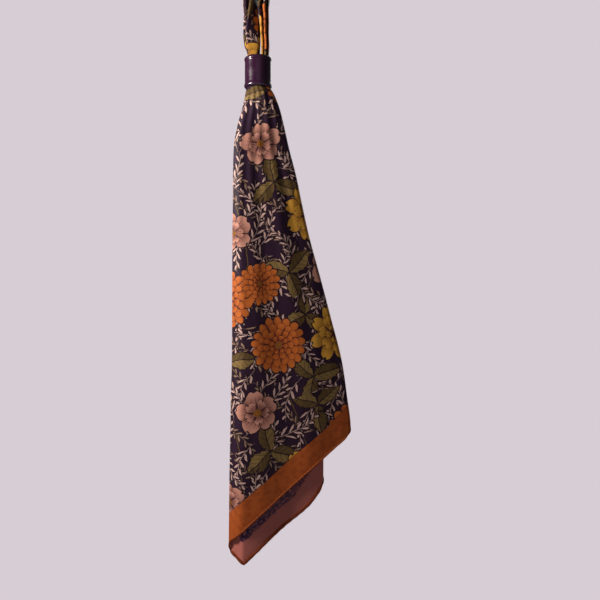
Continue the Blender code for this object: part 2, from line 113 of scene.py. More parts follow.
FRONT_LEVELS = table(
    "z left right crest lean stack stack_right",
    (FALL_TOP, -9, 11.6, -54.9, 5.2, 9.4, 8),
    (-101.5, -10.2, 12.8, -55.1, 5.4, 9.6, 8.4),
    (-106, -11.4, 16.6, -56, 6, 10.2, 8.8),
    (-114.4, -12.8, 20.8, -57.2, 7, 11.4, 9.4),
    (-126.5, -15.2, 25.2, -58.2, 8.4, 12.8, 10),
    (-143, -19.6, 29.4, -59.2, 10.4, 14, 10.4),
    (-169, -24, 35.4, -60.4, 13.2, 15.6, 10.8),
    (-198, -24.8, 43, -61.4, 15.8, 17, 11),
    (-224, -24.9, 48.4, -62.2, 18, 18, 11.2),
    (-262, -25.4, 56.8, -63.2, 21.2, 19.4, 11.4),
    (-308, -25.6, 69.4, -64.2, 25, 20.8, 11.4),
    (-352, -25.7, 81, -65, 28, 21.6, 11.4),
    (-406, -26.2, 94.6, -65.6, 31, 22.4, 11.4),
    (-440, -27.2, 99.6, -66, 32.6, 22.8, 11.4),
    (-480, -27.9, 104.2, -66.2, 34, 23.2, 11.4),
    (-530, -28.8, 104.2, -66.4, 34, 23.6, 11.4),
    (-620, -29.7, 104.2, -66.6, 34, 24, 11.4),
)
STACK_CURVE = 1.2
LEAN_SHARE = table(
    "across share",
    (0, 0.27),
    (0.05, 0.08),
    (0.11, 0),
    (0.2, 0.04),
    (0.35, 0.18),
    (0.5, 0.36),
    (0.65, 0.52),
    (0.8, 0.69),
    (0.92, 0.86),
    (1, 1),
)
RING_ARC = 5.6
RING_THINS_FRONT = 2.2
RING_THINS_REAR = 1.6
RING_SHAPE_FADES_AT = -160

FOLD_HEIGHTS = (-600, -280, -112)
FOLDS = (
    # across_ring, across_hem, half_width, deep_hem, deep_middle, deep_ring
    (0.11, 0.09, 0.055, 0, -0.4, -0.9),
    (0.29, 0.26, 0.06, 0, -0.5, -1),
    (0.47, 0.45, 0.06, 0, -0.4, -0.8),
    (0.65, 0.64, 0.065, 0, -0.6, -1),
    (0.85, 0.84, 0.06, 0, -0.3, -0.7),
    (0.38, 0.43, 0.13, 1.3, 1.2, 0),
    (0.6, 0.66, 0.12, -0.7, -0.8, 0),
    (0.8, 0.86, 0.07, 0.8, 0.6, 0),
)
FOLDS_BEGIN_OVER = 8
FOLDS_LOST_BEHIND = 0.6

# Soft creases, listed one by one: each runs from one place on the cloth to another, given as the
# fraction across and the height, and is a ridge (negative) or trough (positive) in mm.
CREASES = (
    # across_1, height_1, across_2, height_2, half_width, deep
    (0.3, -150, 0.06, -300, 3.4, 0.45),
    (0.4, -130, 0.55, -260, 4.2, -0.5),
    (0.72, -140, 0.9, -330, 4, 0.55),
    (0.1, -330, 0.3, -420, 5.5, -0.45),
    (0.55, -300, 0.38, -400, 6, 0.5),
    (0.92, -300, 0.74, -420, 5, -0.5),
    (0.16, -430, 0.22, -560, 5, 0.5),
    (0.06, -480, 0.14, -600, 3, -0.35),
    (0.7, -420, 0.52, -520, 5, 0.45),
    (0.95, -380, 0.88, -480, 4, 0.45),
)

# The same on the rear fall's outer face, where a ridge stands out towards the wall (positive).
REAR_CREASES = (
    # across_1, height_1, across_2, height_2, half_width, deep
    (0.3, -96, 0.24, -420, 4, 0.9),
    (0.62, -96, 0.58, -380, 4.5, -0.8),
    (0.84, -110, 0.8, -330, 4, 0.7),
    (0.1, -150, 0.34, -290, 5, -0.6),
    (0.45, -240, 0.7, -370, 6, 0.7),
    (0.78, -320, 0.52, -440, 5.5, -0.7),
    (0.16, -330, 0.42, -470, 6, 0.7),
    (0.3, -430, 0.1, -540, 5, -0.6),
    (0.9, -360, 0.7, -480, 4.5, 0.6),
)

FRONT_LAYERS = (
    # name, place, start, finish, hem_start, hem_finish, columns
    ("inner return", 3, 0.45, 0.03, -295, -350, 20),
    ("rear panel", 4, 0.03, 1, -354, -474, 46),
    ("front panel", 0, 1, 0, -488, -595, 67),
    ("back panel", 1, 0, 0.765, -608, -541, 53),
    ("inner panel", 2, 0.765, 0.12, -530, -450, 30),
)
FRONT_PLACES = 4
# The back panel's corner was pressed flat: one sharp crease runs up from its lowest point.
PRESSED_PANEL, PRESSED_PLACE = "back panel", 1
PRESSED_ACROSS = 0.115
PRESSED_RIGHT = 0.21
PRESSED_DEEP = -3.6
PRESSED_AT_FOLD = -2.2
PRESSED_FROM, PRESSED_FULL = -440, -540

REAR_LEVELS = table(
    "z left right behind stack",
    (FALL_TOP, -4.6, 7.2, 2.8, 5.6),
    (-101.5, -5.6, 8.2, 2.8, 5.6),
    (-108, -7.8, 11.6, 3, 6),
    (-118, -10.2, 15.8, 3.2, 6.6),
    (-135, -13.8, 20.6, 3.4, 7.2),
    (-160, -18.4, 25.4, 3.8, 7.8),
    (-200, -20.6, 32.4, 4.2, 8.4),
    (-262, -21.4, 42.6, 4.6, 9.2),
    (-352, -21.8, 54.6, 5, 10),
    (-470, -22.4, 64, 5.2, 10.6),
    (-600, -23, 66, 5.2, 11),
)
REAR_LAYERS = (
    # name, place, start, finish, hem_start, hem_finish, columns
    ("inner face", 0, 0.86, 0, -516, -566, 30),
    ("outer face", 2, 0, 1, -561, -474, 36),
    ("inner return", 1, 1, 0.16, -474, -402, 26),
)
REAR_PLACES = 2
HEM_BENDS = {
    "front panel": ((0.03, -492), (0.08, -496.7), (0.7, -561.6)),
    "back panel": (
        (0.15, -618.5),
        (0.55, -584.3),
        (0.85, -561.4),
        (0.925, -552.9),
        (0.975, -546),
    ),
    "inner face": ((0.8, -584),),
}

WIDEST_TURN = 4.5
TURN_COLUMNS = 9
FALL_ROWS = 132
# Rows are closer under the ring, where the cloth opens out quickly.
ROW_CURVE = 1.35

LOOP_ROUTE = table(
    "x y z across through turn",
    (-3.4, -45.6, LOOP_END, 6.8, 7.4, 84),
    (-3.4, -45.8, -74, 6.9, 7.2, 84),
    (-3.6, -46.6, -64, 7.1, 6.4, 82),
    (-4.9, -47.4, -54, 9, 6, 77),
    (-5.6, -47.8, -44, 9.4, 5.6, 71),
    (-5.8, -47.2, -29.5, 9.3, 5.8, 57),
    (-7.1, -46, -14, 9, 6.2, 31),
    (-9.6, -45.2, 0, 8.8, 4.9, 0),
    (0, -45, 9.3, 8.8, 4.6, 0),
    (9.3, -44.8, 0, 8.8, 4.6, 0),
    (6.9, -44.6, -13, 8.9, 5.8, 0),
    (8.1, -44.2, -28, 9, 4.9, 0),
    (8.3, -44.2, -41, 9, 4.5, 0),
    (9.1, -44.4, -54, 8.6, 4.3, 0),
    (8.8, -44.6, -66, 6.9, 3.9, 0),
    (8.6, -44.6, LOOP_END, 6.8, 3.8, 0),
)
LOOP_ROWS = 120
ARCH_ROWS = 36
LOOP_LAYERS = 5
LAYER_POINTS, TURN_POINTS = 11, 9
LOOP_BOW = 0.3
LOOP_OVAL_REACH = 1.3
LOOP_OVAL_POWER = 2.5

# The cloth is unrolled level by level, down to under its lowest hem.
UNROLLED_TO, UNROLLED_STEPS = -622, 110
# Where the print starts on the rear fall and on the loop, in mm of cloth.
REAR_PRINT_FROM = (62, 96)
LOOP_PRINT_FROM = (75.5, -100)
# The loop counts as lying this far from any hem, in mm.
FAR_FROM_HEM = 200
# The plain border's width, in mm of cloth.
BORDER = 25.6


# ---------------------------------------------------------------- curves and meshes
def smooth_values(at, known_at, known):
    """Values at these places, on a smooth curve through the known ones, without overshoots."""
    known_at = np.asarray(known_at, float)
    known = np.asarray(known, float)
    if known_at[0] > known_at[-1]:
        known_at, known = known_at[::-1], known[::-1]
    steps = np.diff(known_at)
    rises = np.diff(known) / steps
    slopes = np.zeros(len(known))
    slopes[0], slopes[-1] = rises[0], rises[-1]
    same_way = rises[:-1] * rises[1:] > 0
    means = 2 * rises[:-1] * rises[1:] / np.where(same_way, rises[:-1] + rises[1:], 1)
    slopes[1:-1] = np.where(same_way, means, 0)
    at = np.clip(np.asarray(at, float), known_at[0], known_at[-1])
    i = np.clip(np.searchsorted(known_at, at) - 1, 0, len(steps) - 1)
    t = (at - known_at[i]) / steps[i]
    return (
        known[i] * (1 + 2 * t) * (1 - t) ** 2
        + slopes[i] * steps[i] * t * (1 - t) ** 2
        + known[i + 1] * t**2 * (3 - 2 * t)
        + slopes[i + 1] * steps[i] * t**2 * (t - 1)
    )


def at_level(levels, column, z):
    return smooth_values(z, levels["z"], levels[column])


def unit(vectors):
    return vectors / np.linalg.norm(vectors, axis=-1, keepdims=True)


def round_angles(sides):
    return 2 * pi * np.arange(sides) / sides


def new_object(name, mesh):
    made = bpy.data.objects.new(name, mesh)
    bpy.context.scene.collection.objects.link(made)
    return made


def mesh_object(name, points, faces, materials, smooth_angle=40):
    """A smooth mesh from points in millimetres, with its faces turned outwards."""
    points = (np.asarray(points, float) - (0, 0, PLATE_ABOVE)) * MM
    mesh = bpy.data.meshes.new(name)
    mesh.from_pydata(points.tolist(), [], faces)
    mesh.calc_loop_triangles()
    corners = points[[list(triangle.vertices) for triangle in mesh.loop_triangles]]
    if np.linalg.det(corners).sum() < 0:
        mesh.flip_normals()
    mesh.shade_smooth()
    mesh.set_sharp_from_angle(angle=radians(smooth_angle))
    for finish in materials:
        mesh.materials.append(finish)
    return new_object(name, mesh)


def set_uv(mesh, name, values):
    """A UV layer from one (u, v) in millimetres for each point."""
    layer = mesh.uv_layers.new(name=name)
    loops = np.zeros(len(mesh.loops), np.int32)
    mesh.loops.foreach_get("vertex_index", loops)
    values = (np.reshape(values, (-1, 2)) / UV_UNIT).astype(np.float32)
    layer.data.foreach_set("uv", values[loops].ravel())


def grid_normals(middle):
    return unit(np.cross(np.gradient(middle, axis=1), np.gradient(middle, axis=0)))


def cloth_object(name, middle, print_at, edge_at, finishes, crease=None):
    """A closed wall of cloth: finishes are for its printed side, its wrong side and its edge.

    A pressed crease is the column that it runs along and its first row.
    """
    at = np.arange(middle[..., 0].size).reshape(middle.shape[:2])
    other = at.size
    offset = grid_normals(middle) * CLOTH / 2
    points = np.concatenate([(middle + offset).reshape(-1, 3), (middle - offset).reshape(-1, 3)])
    a, b, c, d = at[:-1, :-1], at[:-1, 1:], at[1:, 1:], at[1:, :-1]
    walls = np.stack([np.stack([a, b, c, d], 2), other + np.stack([a, d, c, b], 2)], 2)
    rim = np.concatenate([at[0], at[1:, -1], at[-1, -2::-1], at[-2:0:-1, 0]])
    after = np.roll(rim, -1)
    edge = np.stack([after, rim, other + rim, other + after], 1)
    faces = np.concatenate([walls.reshape(-1, 4), edge]).tolist()
    made = mesh_object(name, points, faces, finishes, smooth_angle=60)
    slots = [0, 1] * a.size + [2] * len(rim)
    made.data.polygons.foreach_set("material_index", slots)
    if crease is not None:
        column, first_row = crease
        pressed = at[first_row:, column]
        pressed = {*pressed.tolist(), *(other + pressed).tolist()}
        for edge in made.data.edges:
            if pressed.issuperset(edge.vertices):
                edge.use_edge_sharp = True
    for layer, values in (("print", print_at), ("edge", edge_at)):
        set_uv(made.data, layer, [values, values])
    return made


def joined_rings(count, sides, closed=False):
    """Faces from each ring of points to the next, and if closed from the last to the first."""
    faces = []
    for r in range(count if closed else count - 1):
        onward = ((r + 1) % count - r) * sides
        for k in range(sides):
            a, b = r * sides + k, r * sides + (k + 1) % sides
            faces.append((b, a, a + onward, b + onward))
    return faces


def capped_rings(count, sides):
    first, last = range(sides), range((count - 1) * sides, count * sides)
    return [tuple(first), tuple(last)[::-1], *joined_rings(count, sides)]


def tube_points(centres, radii, sides, side_way=(1, 0, 0)):
    """Rings of points round a route in space, and the faces that join and close them."""
    runs = unit(np.gradient(np.asarray(centres, float), axis=0))
    angles = round_angles(sides)[:, None]
    points = []
    side = np.asarray(side_way, float)
    for centre, run, radius in zip(centres, runs, radii):
        side = unit(side - run * side.dot(run))
        up = np.cross(side, run)
        points.extend(centre + radius * (side * np.cos(angles) + up * np.sin(angles)))
    return np.array(points), capped_rings(len(centres), sides)


# ---------------------------------------------------------------- the falls
def fall_sides(levels, z):
    return at_level(levels, "left", z), at_level(levels, "right", z)


def share_in_ring(z):
    share = np.clip((z - RING_SHAPE_FADES_AT) / (RING_BOTTOM - RING_SHAPE_FADES_AT), 0, 1)
    return share * share * (3 - 2 * share)


def clear_of_ring(z):
    return np.clip((RING_BOTTOM - z) / FOLDS_BEGIN_OVER, 0, 1)


def crease_relief(creases, across, z, wide):
    relief = 0
    for across_1, z_1, across_2, z_2, half_width, deep in creases:
        along = np.clip((z - z_1) / (z_2 - z_1), 0, 1)
        fade = np.sin(pi * along) ** 0.8
        away = (across - across_1 - (across_2 - across_1) * along) * wide
        relief = relief + deep * fade * np.exp(-((away / half_width) ** 2))
    return relief


def fold_relief(across, z):
    """How far the ridges, troughs and creases move the cloth towards the wall."""
    relief = np.zeros(np.broadcast(across, z).shape)
    down = np.clip((z - FALL_TOP) / (FOLD_HEIGHTS[0] - FALL_TOP), 0, 1)
    for across_ring, across_hem, half_width, deep_hem, deep_middle, deep_ring in FOLDS:
        middle = across_ring + (across_hem - across_ring) * down
        depth = smooth_values(z, FOLD_HEIGHTS, (deep_hem, deep_middle, deep_ring))
        relief = relief + depth * np.exp(-(((across - middle) / half_width) ** 2))
    left, right = fall_sides(FRONT_LEVELS, z)
    relief = relief + crease_relief(CREASES, across, z, right - left)
    return relief * clear_of_ring(z)


def soft_front_depth(across, z, place):
    """The front fall's depth before its back panel is pressed."""
    in_ring = share_in_ring(z)
    share = smooth_values(across, LEAN_SHARE["across"], LEAN_SHARE["share"])
    hanging = at_level(FRONT_LEVELS, "lean", z) * share
    banded = RING_ARC * (2 * across - 1) ** 2
    front = at_level(FRONT_LEVELS, "crest", z) + in_ring * banded + (1 - in_ring) * hanging
    stack_left = at_level(FRONT_LEVELS, "stack", z)
    stack_right = at_level(FRONT_LEVELS, "stack_right", z)
    thinning = in_ring * RING_THINS_FRONT * (2 * across - 1) ** 2
    stack = stack_left + (stack_right - stack_left) * across**STACK_CURVE - thinning
    back = place / FRONT_PLACES
    relief = fold_relief(across, z) * (1 - FOLDS_LOST_BEHIND * back)
    return front + stack * back + relief


def front_depth(across, z, place):
    """Y of the front fall's layer in this place, at a fraction across it and a height."""
    depth = soft_front_depth(across, z, place)
    if place != PRESSED_PLACE:
        return depth
    low = np.clip((z - PRESSED_FROM) / (PRESSED_FULL - PRESSED_FROM), 0, 1)
    at_fold = soft_front_depth(0, z, place) + PRESSED_AT_FOLD
    at_crease = soft_front_depth(PRESSED_ACROSS, z, place) + PRESSED_DEEP
    flat = at_fold + (at_crease - at_fold) * across / PRESSED_ACROSS
    beyond = (across - PRESSED_ACROSS) / PRESSED_RIGHT
    eased = depth + PRESSED_DEEP * np.clip(1 - beyond, 0, 1)
    return depth + (np.where(across < PRESSED_ACROSS, flat, eased) - depth) * low


def rear_depth(across, z, place):
    """Y of the rear fall's layer in this place: behind the front fall's rear panel."""
    left, right = fall_sides(REAR_LEVELS, z)
    front_left, front_right = fall_sides(FRONT_LEVELS, z)
    x = left + (right - left) * across
    front_fraction = np.clip((x - front_left) / (front_right - front_left), 0, 1)
    carried = front_depth(front_fraction, z, FRONT_PLACES)
    thinning = share_in_ring(z) * RING_THINS_REAR * (2 * across - 1) ** 2
    back = place / REAR_PLACES
    relief = crease_relief(REAR_CREASES, across, z, right - left) * clear_of_ring(z) * back
    behind, stack = at_level(REAR_LEVELS, "behind", z), at_level(REAR_LEVELS, "stack", z)
    return carried + behind - thinning + stack * back + relief


# Between these places along a layer its hem follows the cloth's straight cut edge. Elsewhere
# it is only rounded off by a fold, and the border goes straight on.
CUT_EDGE_SEEN = {"front panel": (0.08, 1.0), "back panel": (0, 0.85)}


def hem_height(layer, fraction):
    bends = HEM_BENDS.get(layer[0], ())
    along = [0.0, *(bend[0] for bend in bends), 1.0]
    heights = [layer[4], *(bend[1] for bend in bends), layer[5]]
    if len(bends) < 2:
        return float(np.interp(fraction, along, heights))
    corner = int(np.argmin(heights))
    if fraction <= along[corner]:
        return float(smooth_values(fraction, along[: corner + 1], heights[: corner + 1]))
    return float(smooth_values(fraction, along[corner:], heights[corner:]))


def fall_columns(layers):
    """Each column of a fall as (layer, fraction along it) or as a turn between two layers."""
    columns = []
    for i, layer in enumerate(layers):
        count = layer[6]
        fractions = [k / (count - 1) for k in range(count)]
        corner = min(HEM_BENDS.get(layer[0], ()), key=lambda bend: bend[1], default=None)
        if corner and corner[1] < min(layer[4], layer[5]):
            nearest = min(range(count), key=lambda k: abs(fractions[k] - corner[0]))
            fractions[nearest] = corner[0]
        for fraction in fractions:
            columns.append(("flat", layer, fraction, hem_height(layer, fraction)))
        if i + 1 == len(layers):
            continue
        following = layers[i + 1]
        for k in range(1, TURN_COLUMNS + 1):
            share = k / (TURN_COLUMNS + 1)
            hem = layer[5] + (following[4] - layer[5]) * share
            columns.append(("turn", layer, following, pi * share, hem))
    return columns


def turn_radius(depth_of, across, z, place, other_place):
    half = np.abs(depth_of(across, z, other_place) - depth_of(across, z, place)) / 2
    return np.minimum(half, WIDEST_TURN)


def column_place(column, layers, z, levels, depth_of):
    """X and Y of one of a fall's columns at these heights."""
    left, right = fall_sides(levels, z)
    width = right - left
    kind, layer, *rest = column
    _, place, start, finish = layer[:4]
    way = 1 if finish > start else -1
    if kind == "flat":
        ends = []
        order = layers.index(layer)
        for across, inwards, beside in ((start, way, order - 1), (finish, -way, order + 1)):
            x = left + width * across
            if 0 <= beside < len(layers):
                x = x + inwards * turn_radius(depth_of, across, z, place, layers[beside][1])
            ends.append(x)
        x = ends[0] + (ends[1] - ends[0]) * rest[0]
        return x, depth_of((x - left) / width, z, place)
    following, angle, _ = rest
    radius = turn_radius(depth_of, finish, z, place, following[1])
    inner = left + width * finish - way * radius
    first, second = (depth_of((inner - left) / width, z, at) for at in (place, following[1]))
    x = inner + way * radius * sin(angle)
    return x, (first + second) / 2 + (first - second) / 2 * cos(angle)


def line_distance(points, line):
    """For each point, its distance to a line of joined stretches and how far along that is."""
    ends = np.asarray(line)
    runs = np.diff(ends, axis=0)
    lengths = np.linalg.norm(runs, axis=1)
    before = np.cumsum(lengths) - lengths
    best = np.full(len(points), np.inf)
    along = np.zeros(len(points))
    for start, run, length, gone in zip(ends, runs, lengths, before):
        if length < TOO_SHORT:
            continue
        share = np.clip((points - start) @ run / length**2, 0, 1)
        away = np.linalg.norm(points - start - share[:, None] * run, axis=1)
        nearer = away < best
        best = np.where(nearer, away, best)
        along = np.where(nearer, gone + share * length, along)
    return best, along


def fall_grid(layers, levels, depth_of, zero_layer):
    """A fall's middle surface, its place in the flat cloth, and its place from the hem."""
    columns = fall_columns(layers)
    heights = np.linspace(FALL_TOP, UNROLLED_TO, UNROLLED_STEPS)
    flat = np.array([column_place(c, layers, heights, levels, depth_of) for c in columns])
    steps = np.linalg.norm(np.diff(flat, axis=0), axis=1)
    unrolled = np.concatenate([np.zeros((1, len(heights))), np.cumsum(steps, axis=0)])
    unrolled -= unrolled[max(i for i, c in enumerate(columns) if c[:2] == ("flat", zero_layer))]
    shares = np.linspace(0, 1, FALL_ROWS) ** ROW_CURVE
    grid, print_at, hem_line = [], [], []
    for i, column in enumerate(columns):
        z = FALL_TOP + (column[-1] + HEM_RADIUS - FALL_TOP) * shares
        x, y = column_place(column, layers, z, levels, depth_of)
        u = np.interp(-z, -heights, unrolled[i])
        grid.append(np.stack([x, y, z], axis=1))
        print_at.append(np.stack([u, z], axis=1))
        first, last = CUT_EDGE_SEEN.get(column[1][0], (0, 1))
        if column[0] == "flat" and first - TOO_SHORT <= column[2] <= last + TOO_SHORT:
            hem_line.append((u[-1], column[-1]))
    print_at = np.stack(print_at, axis=1)
    edge_at = np.stack(line_distance(print_at.reshape(-1, 2), hem_line), axis=1)
    return np.stack(grid, axis=1), print_at, edge_at


# ---------------------------------------------------------------- the looped stretch
def pleated_section(across, through):
    """Points of a strand's folded section, layer by layer, within an oval of these half sizes."""
    reach = through - CLOTH / 2
    pitch = 2 * reach / (LOOP_LAYERS - 1)
    turn = pitch / 2
    levels = [-reach + pitch * k for k in range(LOOP_LAYERS)]
    out = [abs(level) / (through * LOOP_OVAL_REACH) for level in levels]
    halves = [across * (1 - o**LOOP_OVAL_POWER) ** 0.5 - turn - CLOTH / 2 for o in out]
    fold_halves = [(a + b) / 2 for a, b in zip(halves, halves[1:])]
    reaches = [halves[0], *fold_halves, halves[-1]]
    points = []
    for k, level in enumerate(levels):
        way = 1 if k % 2 == 0 else -1
        begin, end = -way * reaches[k], way * reaches[k + 1]
        for share in np.linspace(0, 1, LAYER_POINTS):
            bow = LOOP_BOW * 4 * share * (1 - share)
            points.append((begin + (end - begin) * share, level - bow))
        if k + 1 < LOOP_LAYERS:
            for angle in np.linspace(0, pi, TURN_POINTS)[1:-1]:
                points.append((end + way * turn * sin(angle), level + turn * (1 - cos(angle))))
    return np.array(points)


def loop_centre_line():
    """The route's points evenly spaced, with a true half circle where it passes over the arm."""
    over = int(np.argmax(LOOP_ROUTE["z"]))
    known = np.arange(len(LOOP_ROUTE["z"]), dtype=float)
    places = np.linspace(0, known[-1], LOOP_ROWS)
    near_top = np.linspace(over - 1, over + 1, ARCH_ROWS)
    outside = places[np.abs(places - over) > 1.05]
    places = np.sort(np.concatenate([outside, near_top]))
    values = {name: smooth_values(places, known, LOOP_ROUTE[name]) for name in LOOP_ROUTE}
    left_x, right_x = LOOP_ROUTE["x"][over - 1], LOOP_ROUTE["x"][over + 1]
    springing = LOOP_ROUTE["z"][over - 1]
    top_middle, top_radius = (left_x + right_x) / 2, (right_x - left_x) / 2
    for i, place in enumerate(places):
        if over - 1 <= place <= over + 1:
            angle = pi * (over + 1 - place) / 2
            values["x"][i] = top_middle + top_radius * cos(angle)
            values["z"][i] = springing + (LOOP_ROUTE["z"][over] - springing) * sin(angle)
    return values


def loop_grid():
    route = loop_centre_line()
    centres = np.stack([route["x"], route["y"], route["z"]], axis=1)
    runs = unit(np.gradient(centres, axis=0))
    gone = np.concatenate([[0], np.cumsum(np.linalg.norm(np.diff(centres, axis=0), axis=1))])
    rows, print_at = [], []
    for i, (centre, run) in enumerate(zip(centres, runs)):
        along_arm = unit(np.array((0, -1, 0)) + run * run[1])
        outward = np.cross(along_arm, run)
        turn = radians(route["turn"][i])
        wide = along_arm * cos(turn) + outward * sin(turn)
        deep = outward * cos(turn) - along_arm * sin(turn)
        section = pleated_section(route["across"][i], route["through"][i])
        rows.append([centre + wide * a + deep * b for a, b in section])
        steps = np.linalg.norm(np.diff(section, axis=0), axis=1)
        u = np.concatenate([[0], np.cumsum(steps)])
        print_at.append(np.stack([u - u[-1] / 2, np.full(len(u), gone[i])], axis=1))
    return np.array(rows), np.array(print_at)


# ---------------------------------------------------------------- node arithmetic
class Field:
    """A number that a node tree works out at each point of a surface."""

    def __init__(self, net, socket):
        self.net, self.socket = net, socket

    def __rsub__(self, other):
        return self.net.math("SUBTRACT", other, self)


class Net:
    """Builds one node tree, so that patterns can be written as arithmetic."""

    def __init__(self, tree):
        self.tree = tree

    def feed(self, socket, value):
        if isinstance(value, Field):
            self.tree.links.new(value.socket, socket)
        elif hasattr(value, "__len__") and len(value) == 3 and socket.type == "RGBA":
            socket.default_value = (*value, 1)
        else:
            socket.default_value = value

    def node(self, kind, inputs=(), **settings):
        made = self.tree.nodes.new(kind)
        for key, value in settings.items():
            setattr(made, key, value)
        for socket, value in dict(inputs).items():
            self.feed(made.inputs[socket], value)
        return made

    def field(self, kind, inputs=(), output=0, **settings):
        """One output of a new node with these inputs."""
        return Field(self, self.node(kind, inputs, **settings).outputs[output])

    def math(self, operation, *values, clamp=False):
        inputs = enumerate(values)
        return self.field("ShaderNodeMath", inputs, operation=operation, use_clamp=clamp)

    def wrapped(self, a, half):
        """The same place in a repeat that runs from -half to half."""
        return self.math("WRAP", a, half, -half)

    def smooth(self, value, low, high, to_low=0, to_high=1):
        inputs = enumerate((value, low, high, to_low, to_high))
        return self.field("ShaderNodeMapRange", inputs, interpolation_type="SMOOTHSTEP")

    def mix(self, share, first, second, blend="MIX"):
        inputs = {0: share, 6: first, 7: second}
        return self.field("ShaderNodeMix", inputs, 2, data_type="RGBA", blend_type=blend)

    def blend(self, share, first, second):
        inputs = {0: share, 2: first, 3: second}
        return self.field("ShaderNodeMix", inputs, data_type="FLOAT")

    def vector(self, x, y, z=0):
        return self.field("ShaderNodeCombineXYZ", enumerate((x, y, z)))

    def noise(self, at, scale, detail=2):
        return self.field("ShaderNodeTexNoise", {"Vector": at, "Scale": scale, "Detail": detail})

    def chance(self, x, y):
        """A fixed number from 0 to 1 for each pair of whole numbers."""
        inputs = {"Vector": self.vector(x, y)}
        return self.field("ShaderNodeTexWhiteNoise", inputs, noise_dimensions="2D")

    def place(self, scale=None):
        """The place on the object, drawn out along its axes where a scale is given."""
        at = self.field("ShaderNodeTexCoord", output="Object")
        return self.field("ShaderNodeMapping", {"Vector": at, "Scale": scale}) if scale else at

    def uv(self, layer):
        """A UV layer's two numbers in millimetres."""
        at = self.field("ShaderNodeUVMap", uv_map=layer)
        parts = self.node("ShaderNodeSeparateXYZ", {0: at})
        return [Field(self, socket) * UV_UNIT for socket in parts.outputs[:2]]

    def use(self, group, **given):
        made = self.node("ShaderNodeGroup", given, node_tree=group)
        return [Field(self, socket) for socket in made.outputs]


def add_arithmetic(owner, names, given):
    """Methods that each make one math node; given says how a call's values are passed on."""
    for name, operation in names.items():
        setattr(owner, name, lambda *values, kind=operation: given(kind, *values))


add_arithmetic(
    Field,
    {
        "__add__": "ADD", "__radd__": "ADD", "__sub__": "SUBTRACT", "__mul__": "MULTIPLY",
        "__rmul__": "MULTIPLY", "__truediv__": "DIVIDE", "__pow__": "POWER",
        "__abs__": "ABSOLUTE",
    },
    lambda kind, self, *others: self.net.math(kind, self, *others),
)
add_arithmetic(
    Net,
    {
        "least": "MINIMUM", "most": "MAXIMUM", "sine": "SINE", "cosine": "COSINE",
        "root": "SQRT", "floor": "FLOOR", "sign": "SIGN", "less": "LESS_THAN",
    },
    lambda kind, self, *values: self.math(kind, *values),
)


def node_group(name, inputs, outputs, build):
    """A node group whose inputs and outputs are named here and joined by build."""
    tree = bpy.data.node_groups.new(name, "ShaderNodeTree")
    for socket in inputs:
        tree.interface.new_socket(name=socket, in_out="INPUT", socket_type="NodeSocketFloat")
    for socket, kind in outputs:
        tree.interface.new_socket(name=socket, in_out="OUTPUT", socket_type="NodeSocket" + kind)
    net = Net(tree)
    entry, leave = net.node("NodeGroupInput"), net.node("NodeGroupOutput")
    results = build(net, *[Field(net, entry.outputs[socket]) for socket in inputs])
    for (socket, _), value in zip(outputs, results):
        net.feed(leave.inputs[socket], value)
    return tree


# ---------------------------------------------------------------- the print
GROUND = (0.024, 0.0075, 0.024)
DRAWN = (0.015, 0.005, 0.011)
BORDER_COLOUR, BORDER_WORN = (0.42, 0.088, 0.013), (0.33, 0.064, 0.01)
BORDER_PALE, BORDER_MOTTLED = (0.58, 0.155, 0.028), (0.22, 0.038, 0.008)
PALE_SPRIG = (0.68, 0.45, 0.385)
DUSTY_SPRIG = (0.36, 0.225, 0.15)
OLIVE_DEEP, OLIVE_LIGHT = (0.115, 0.07, 0.022), (0.27, 0.175, 0.058)
ORANGE_DEEP, ORANGE_LIGHT = (0.19, 0.026, 0.007), (0.55, 0.14, 0.022)
GOLD_DEEP, GOLD_LIGHT = (0.33, 0.12, 0.014), (0.7, 0.36, 0.045)
ROSE_DEEP, ROSE_LIGHT = (0.24, 0.08, 0.06), (0.6, 0.29, 0.21)
HALO = 1.1
CRISP = 0.3
MOTIF_SOCKETS = (("Cover", "Float"), ("Colour", "Color"))


def as_motif(net, inside, paint):
    """A motif's cover and colour, with a dark line round it."""
    cover = net.smooth(inside, -HALO, CRISP - HALO)
    return cover, net.mix(net.smooth(inside, 0, CRISP), DRAWN, paint)


def ringed_bloom(rings, deep, light, heart, veins=0, notch=0):
    """A round bloom: each ring is its radius, number of petals, turn and petal depth."""

    def build(net, x, y):
        away = net.root(x * x + y * y)
        angle = net.math("ARCTAN2", y, x)
        outline = paint = None
        for radius, petals, turn, depth in rings:
            lobe = abs(net.cosine(angle * (petals / 2) + turn))
            edge = lobe**0.55 * (radius * depth) + radius * (1 - depth)
            if notch:
                edge = edge - net.smooth(lobe, 0.965, 1) * notch
            inside = edge - away
            tone = net.smooth(away, radius * 0.42, radius * 0.98) * 0.75 + lobe * 0.25
            petal = net.mix(tone, deep, light)
            if veins:
                vein = abs(net.cosine(angle * (petals * 2.5) + turn * 5 + pi / 2))
                fine = net.smooth(vein * away * (0.4 / petals), 0.16, 0.34, 1, 0)
                reach = net.smooth(away, radius * 0.8, radius * 0.55)
                petal = net.mix(fine * reach * veins, petal, DRAWN)
            between = net.smooth(lobe * away * (2 / petals), 0.3, 0.62, 1, 0)
            rim = net.smooth(inside, 0.35, 0.8, 1, 0)
            petal = net.mix(net.most(between, rim), petal, DRAWN)
            if outline is None:
                outline, paint = inside, petal
            else:
                paint = net.mix(net.smooth(inside, 0, CRISP), paint, petal)
        seeds = net.smooth(net.wrapped(away, 0.8), -0.3, 0.5) * 0.7
        middle = net.mix(seeds, heart, DRAWN)
        paint = net.mix(net.smooth(away, 3.4, 3), paint, middle)
        return as_motif(net, outline, paint)

    return build


